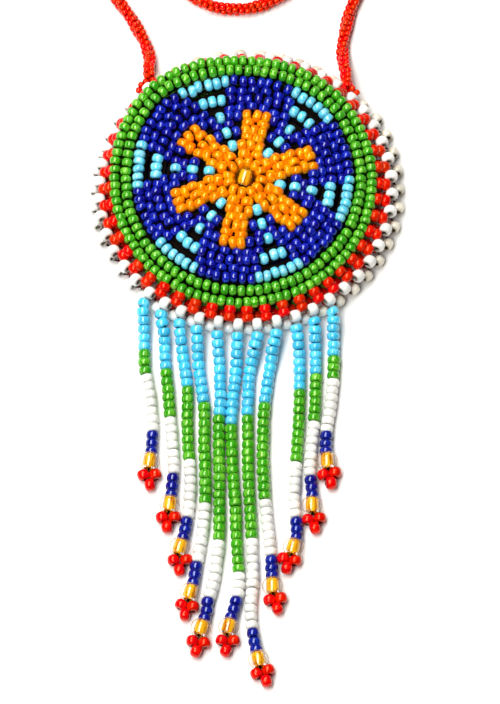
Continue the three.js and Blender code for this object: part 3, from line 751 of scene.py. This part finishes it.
def netting_chart():
    """The netting's fields, each a list of (radius, clock, length, stands).

    The star is field ("orange", 0). A cobalt petal goes by its arm, and a sky fan by its valley.
    """
    fields = {}
    for row, (radius, count) in enumerate(zip(ROW_RADII, ROW_COUNTS)):
        step = 360 / count
        for bead in range(count):
            past_arm = (bead * step) % SECTOR
            from_arm = min(past_arm, SECTOR - past_arm) / step
            from_valley = abs(past_arm - SECTOR / 2) / step
            if from_arm <= STAR_REACH[row] + 0.1:
                field = "orange", 0
            elif from_valley <= FAN_REACH[row] + 0.1:
                field = "sky", int(bead * step // SECTOR)
            else:
                field = "cobalt", round(bead * step / SECTOR) % ARMS
            long = 2 * math.pi * radius / count
            fields.setdefault(field, []).append((radius, FIRST_ARM + bead * step, long, False))
    for gap, offsets in enumerate(POST_CLOCKS):
        radius = (ROW_RADII[gap] + ROW_RADII[gap + 1]) / 2
        for arm in range(ARMS):
            for offset in offsets:
                field = ("cobalt", arm) if gap > 2 or offset > 20 else ("orange", 0)
                for side in (-1, 1):
                    clock = FIRST_ARM + arm * SECTOR + side * offset
                    fields[field].append((radius, clock, POST_LONG[gap], True))
    return fields


def netted(field, wide, share):
    """The beads of a field of the chart, on the front panel."""
    beads = []
    for radius, clock, long, stands in chart[field]:
        if stands:
            place, heading = outward(front_surface, radius, clock, POST_SUNK)
        else:
            place, heading = along_row(front_surface, radius, clock, ROW_PROUD)
        beads.append((place, heading, wide, long * share, SEED_HOLE, 0))
    return beads


# Translucent orange, which glows yellow inside, with painted maroon shade in the hole and where beads
# meet.
orange_glass = seed_glass("translucent_orange_seed_glass", "#FB7C00", "#FFB408", "#801A00", "#FFEC80",
                          0.4, (1.0, 0.4, 0.08))
# Opaque cobalt, a dark blue with brighter blue streaks and hard bluish highlights, and painted near-black
# shade in the hole and where beads meet.
cobalt_glass = seed_glass("opaque_cobalt_seed_glass", "#060B88", "#1A30D0", "#01010E", "#E4ECFF",
                          0.05, (0.1, 0.1, 0.5))
# The fans' sky is a paler lot than the fringe's, with painted dark blue shade in the hole and where beads
# meet.
fan_glass = seed_glass("opaque_pale_sky_seed_glass", "#5CD4F6", "#A4F0FF", "#0A4A70", "#FFFFFF",
                       0.2, (0.2, 0.4, 0.6))

chart = netting_chart()
star = bead_mesh(netted(("orange", 0), STAR_WIDE, STAR_LONG), *FINE, slack=0.09, tilt=0.14)
make_piece("star_beads", [star], [orange_glass], ["star"])
for k in range(ARMS):
    petal = bead_mesh(netted(("cobalt", k), PETAL_WIDE, PETAL_LONG), *FINE, slack=0.12, tilt=0.18)
    make_piece(f"petal_beads_{k + 1}", [petal], [cobalt_glass], [f"cobalt_petal_{k + 1}"])
    fan = bead_mesh(netted(("sky", k), FAN_WIDE, FAN_LONG), *FINE, slack=0.08, tilt=0.1)
    make_piece(f"fan_beads_{k + 1}", [fan], [fan_glass], [f"sky_fan_{k + 1}"])


# ---- Front rosette: thread --------------------------------------------------------------------
# One doubled thread runs round through every row and steps outward through each standing bead.
# Close rings of the same dark thread lie under the netting as painted shade, and show dark wherever the
# netting is open.

def thread_ring(surface, radius, steps):
    """The thread through a row of beads."""
    line = [surface(radius, k * 360 / steps) for k in range(steps)]
    return tube_mesh(line, THREAD, 6, 0, closed=True)


POST_REACH = 1.5                   # from a standing bead's middle to the rows on either side
threads_and_shade_rings = [thread_ring(front_surface, radius, 96) for radius in [*ROW_RADII, GREEN_INNER, GREEN_OUTER]]
for field in chart.values():
    for radius, clock, _, stands in field:
        if stands:
            line = [front_surface(radius + shift, clock) for shift in (-POST_REACH, 0, POST_REACH)]
            threads_and_shade_rings.append(tube_mesh(line, THREAD, 6, 0))

FIRST_SHADE_RING, LAST_SHADE_RING, SHADE_RING_STEP = 3.4, 24.0, 0.55     # radii of the painted shade rings, and the step between them
SHADE_RING_HEIGHT = -1.15                # from the panel's middle surface
SHADE_RING_WAVE = 0.2                    # how far a shade ring wanders to either side, and up and down
# Painted shade: rings of dark thread laid close under the netting, which stand in for the shade inside the
# bag and show dark through its gaps.
for radius in np.arange(FIRST_SHADE_RING, LAST_SHADE_RING, SHADE_RING_STEP):
    level = SHADE_RING_HEIGHT + chance.normal(0, 0.12)
    start = chance.uniform(0, 2 * math.pi)
    line = [front_surface(radius + SHADE_RING_WAVE * math.sin(k * math.pi / 9 + start), k * 5,
                          level + SHADE_RING_WAVE * math.sin(k * math.pi / 6 + 2 * start))
            for k in range(72)]
    threads_and_shade_rings.append(tube_mesh(line, SHADE_RING_STEP * 0.6, 6, 0, closed=True))
make_piece("front_thread_and_shade_rings", threads_and_shade_rings, [thread_nylon], [])


# ---- Centre crystal ---------------------------------------------------------------------------
# One clear round bead over the same amber core as the fringe's, sewn down over the middle of the
# star, with its hole across the bag.

CRYSTAL_HEIGHT = 8.5
CRYSTAL_HOLE = (0.35, 1.0, 0.25)   # the way its hole points
crystal_ball("centre_crystal_bead", np.array([0.0, 0.0, CRYSTAL_HEIGHT]), CRYSTAL_HOLE, "centre_crystal")


# ---- Green rows -------------------------------------------------------------------------------
# Two close rows of green beads frame the field, both strung tight on the netting's thread. The
# outer one is the crest of the mouth's lip.

GREEN_ROWS = {"inner": (GREEN_INNER, 84), "outer": (GREEN_OUTER, 96)}      # radius, and beads
GREEN_LONG = 1.53
for which, (radius, count) in GREEN_ROWS.items():
    row = [row_bead(front_surface, radius, FIRST_ARM + k * 360 / count, GREEN_LONG) for k in range(count)]
    make_piece(f"green_beads_{which}", [bead_mesh(row, *FINE, slack=0.07, tilt=0.1)], [green_glass],
               [f"green_row_{which}"])


# ---- Edging -----------------------------------------------------------------------------------
# Forty-eight pairs of red beads stand outward from the front's last green row, end to end on the
# edging's thread. It passes up a pair, through a white rim bead and down the next pair.

COLUMNS = 48
COLUMN_STEP = 360 / COLUMNS
RED_CLOCK = 6.3                    # clock angle of the first pair
RED_RADII = (24.85, 26.2)
RED_WIDE, RED_LONG = 2.3, 1.75


def red_pair(surface, clock):
    """Two red beads end to end, the larger ones picked for the edging."""
    return [(*outward(surface, radius, clock), RED_WIDE, RED_LONG, SEED_HOLE, 0) for radius in RED_RADII]


red_clocks = [RED_CLOCK + k * COLUMN_STEP for k in range(COLUMNS)]
pairs = [bead for clock in red_clocks for bead in red_pair(front_surface, clock)]
make_piece("front_red_pairs", [bead_mesh(pairs, *FINE)], [red_glass], ["front_red_edging"])


# ---- Back panel -------------------------------------------------------------------------------
# Close rows of the front's beads, worked flat and plain: an orange middle, a cobalt field, two green
# rows and the same red pairs. It lies against the chest or, here, on the table.

BACK_HEIGHT = 1.17                 # of its middle surface: half a bead, and a hair over the table
BACK_RISE = 0.35                   # how far it curls up from the green rows to the edge
BACK_ROW_STEP = 2.13
BACK_PITCH = 1.6                   # from bead to bead in a row
BACK_GREEN_LONG = 1.45
MIDDLE_ROWS, FIELD_ROWS = range(3), range(3, 10)
HIDDEN = (12, 8)                   # points round a bead that is hardly seen, and round its wall
# By clock angle, how many degrees the back's columns are turned against the front's: half a column
# on the right and along the fringe, and hardly at all on the left.
TURNED = [(-175, 3.75), (-135, 2.0), (-95, -1.0), (-35, -1.0), (0, 3.75)]


def back_surface(radius, clock, height=0.0):
    turn = math.radians(clock)
    curl = BACK_RISE * max(0.0, radius - GREEN_OUTER) / (BAG_RADIUS - GREEN_OUTER)
    return np.array([radius * math.sin(turn), radius * math.cos(turn), BACK_HEIGHT + curl + height])


def packed_rows(rows):
    beads = []
    for row in rows:
        radius = row * BACK_ROW_STEP
        count = max(1, round(2 * math.pi * radius / BACK_PITCH))
        beads += [row_bead(back_surface, radius, k * 360 / count) for k in range(count)]
    return beads


make_piece("back_middle_beads", [bead_mesh(packed_rows(MIDDLE_ROWS), *HIDDEN)], [orange_glass],
           ["back_centre"])
make_piece("back_field_beads", [bead_mesh(packed_rows(FIELD_ROWS), *HIDDEN)], [cobalt_glass],
           ["back_field"])
back_green = [row_bead(back_surface, radius, k * 360 / count, BACK_GREEN_LONG)
              for radius, count in GREEN_ROWS.values() for k in range(count)]
make_piece("back_green_beads", [bead_mesh(back_green, *HIDDEN)], [green_glass],
           ["back_green_rows"])
pairs = [bead for clock in red_clocks
         for bead in red_pair(back_surface, clock + at_clock(TURNED, clock))]
make_piece("back_red_pairs", [bead_mesh(pairs, *HIDDEN)], [red_glass],
           ["back_red_edging"])
back_radii = [row * BACK_ROW_STEP for row in (*MIDDLE_ROWS[1:], *FIELD_ROWS)]
back_radii += [GREEN_INNER, GREEN_OUTER]
make_piece("back_thread", [thread_ring(back_surface, radius, 72) for radius in back_radii],
           [thread_nylon], [])


# ---- White rim --------------------------------------------------------------------------------
# White beads on the edging's thread, with their holes along the rim, one between each red pair and
# the next. One thread joins the two panels through them, so the back's lie under and between the
# front's. At the mouth the two lips are left apart.

WHITE_CLOCK = 2.6                  # clock angle of the first one
WHITE_RADIUS, BACK_WHITE_RADIUS = 27.35, 27.45
WHITE_WIDE, WHITE_LONG, WHITE_HOLE = 2.45, 2.0, 0.9
WHITE_LEAN = 0.4                   # their holes look up at the end nearer the fringe, but for
LEANS_FROM, LEANS_TO = 15, 260     # those outside these clock angles
LIFTED, LIFTED_BY = 317.6, 1.9     # clock angle of a front one pulled up by the strap's left end
SEAM_HEIGHT = 1.2                  # of the back's in the seam, flattened down on to the table
# By clock angle, how far the back's are pressed outward.
PRESSED_OUT = [(-180, -0.222), (-175, -0.3), (-145, 0.6), (-95, 0.7), (-70, 0), (46, 0), (60, 1.2),
               (105, 1.1), (140, 0.4), (180, -0.222)]
SHADE_FROM, SHADE_TO = 30, 150       # clock angles of the edge where the back's lie in shade, and are painted darker
THREAD_SIDE, THREAD_LOW = 1.2, -0.4          # where the thread goes in at a white bead
# Painted shade: the white glass made cream and duller for the back's white beads that lie in shade, down
# the right side and under the front lip, with painted brown shade in the hole and where beads meet.
shaded_white_glass = seed_glass("opaque_white_seed_glass_painted_shade", "#EDE5D2", "#F8F4E8", "#6E5C3A",
                        "#FFFFFF", 0.15, (0.5, 0.5, 0.4))
front_whites = [WHITE_CLOCK + k * COLUMN_STEP for k in range(COLUMNS)]
back_whites = [clock + at_clock(TURNED, clock) for clock in front_whites]


def in_mouth(clock):
    return abs(signed(clock - MOUTH_MIDDLE)) < MOUTH_HALF


def seam_surface(radius, clock, height=0.0):
    """The back panel's surface at its white beads."""
    place = back_surface(radius + at_clock(PRESSED_OUT, clock), clock, height)
    if not in_mouth(clock):
        place[2] = SEAM_HEIGHT + height
    return place


def white_place(surface, radius, clock, height=0.0):
    place, heading = along_row(surface, radius, clock, height)
    heading = unit(heading)
    lean = WHITE_LEAN if LEANS_FROM < clock % 360 < LEANS_TO else 0
    return place, heading - [0, 0, lean * heading[1]]


def front_white(clock):
    height = LIFTED_BY if abs(signed(clock - LIFTED)) < 1 else 0.0
    return (*white_place(front_surface, WHITE_RADIUS, clock, height),
            WHITE_WIDE, WHITE_LONG, WHITE_HOLE, 0)


def back_white(clock):
    # The back's beads on the right lie in shade, and take the painted shade glass.
    in_shade = int(SHADE_FROM < clock % 360 < SHADE_TO)
    return (*white_place(seam_surface, BACK_WHITE_RADIUS, clock), SEED, WHITE_LONG, SEED_HOLE, in_shade)


def rim_thread(surface, white_radius, whites):
    """Up through each red pair and across through each white bead."""
    line = []
    for white in whites:
        red = white - (WHITE_CLOCK - RED_CLOCK) % COLUMN_STEP
        line += [surface(RED_RADII[1], red, THREAD_LOW),
                 surface(white_radius, white - THREAD_SIDE, THREAD_LOW),
                 surface(white_radius, white + THREAD_SIDE, THREAD_LOW)]
    return tube_mesh(line, THREAD * 0.8, 6, 0, closed=True)


seam = [front_white(clock) for clock in front_whites if not in_mouth(clock)]
seam += [back_white(clock) for clock in back_whites if not in_mouth(clock)]
make_piece("rim_seam_beads", [bead_mesh(seam, *FINE)], [white_glass, shaded_white_glass],
           ["rim_seam"])
lip = [front_white(clock) for clock in front_whites if in_mouth(clock)]
make_piece("front_lip_beads", [bead_mesh(lip, *FINE)], [white_glass], ["front_lip"])
# The back's lip lies in shade under the front's, so its beads take the painted shade glass.
lip = [(*white_place(seam_surface, BACK_WHITE_RADIUS, clock), WHITE_WIDE, WHITE_LONG, WHITE_HOLE, 0)
       for clock in back_whites if in_mouth(clock)]
make_piece("back_lip_beads", [bead_mesh(lip, *FINE)], [shaded_white_glass], ["back_lip"])
make_piece("rim_thread", [rim_thread(front_surface, WHITE_RADIUS, front_whites),
                          rim_thread(seam_surface, BACK_WHITE_RADIUS, back_whites)],
           [thread_nylon], [])
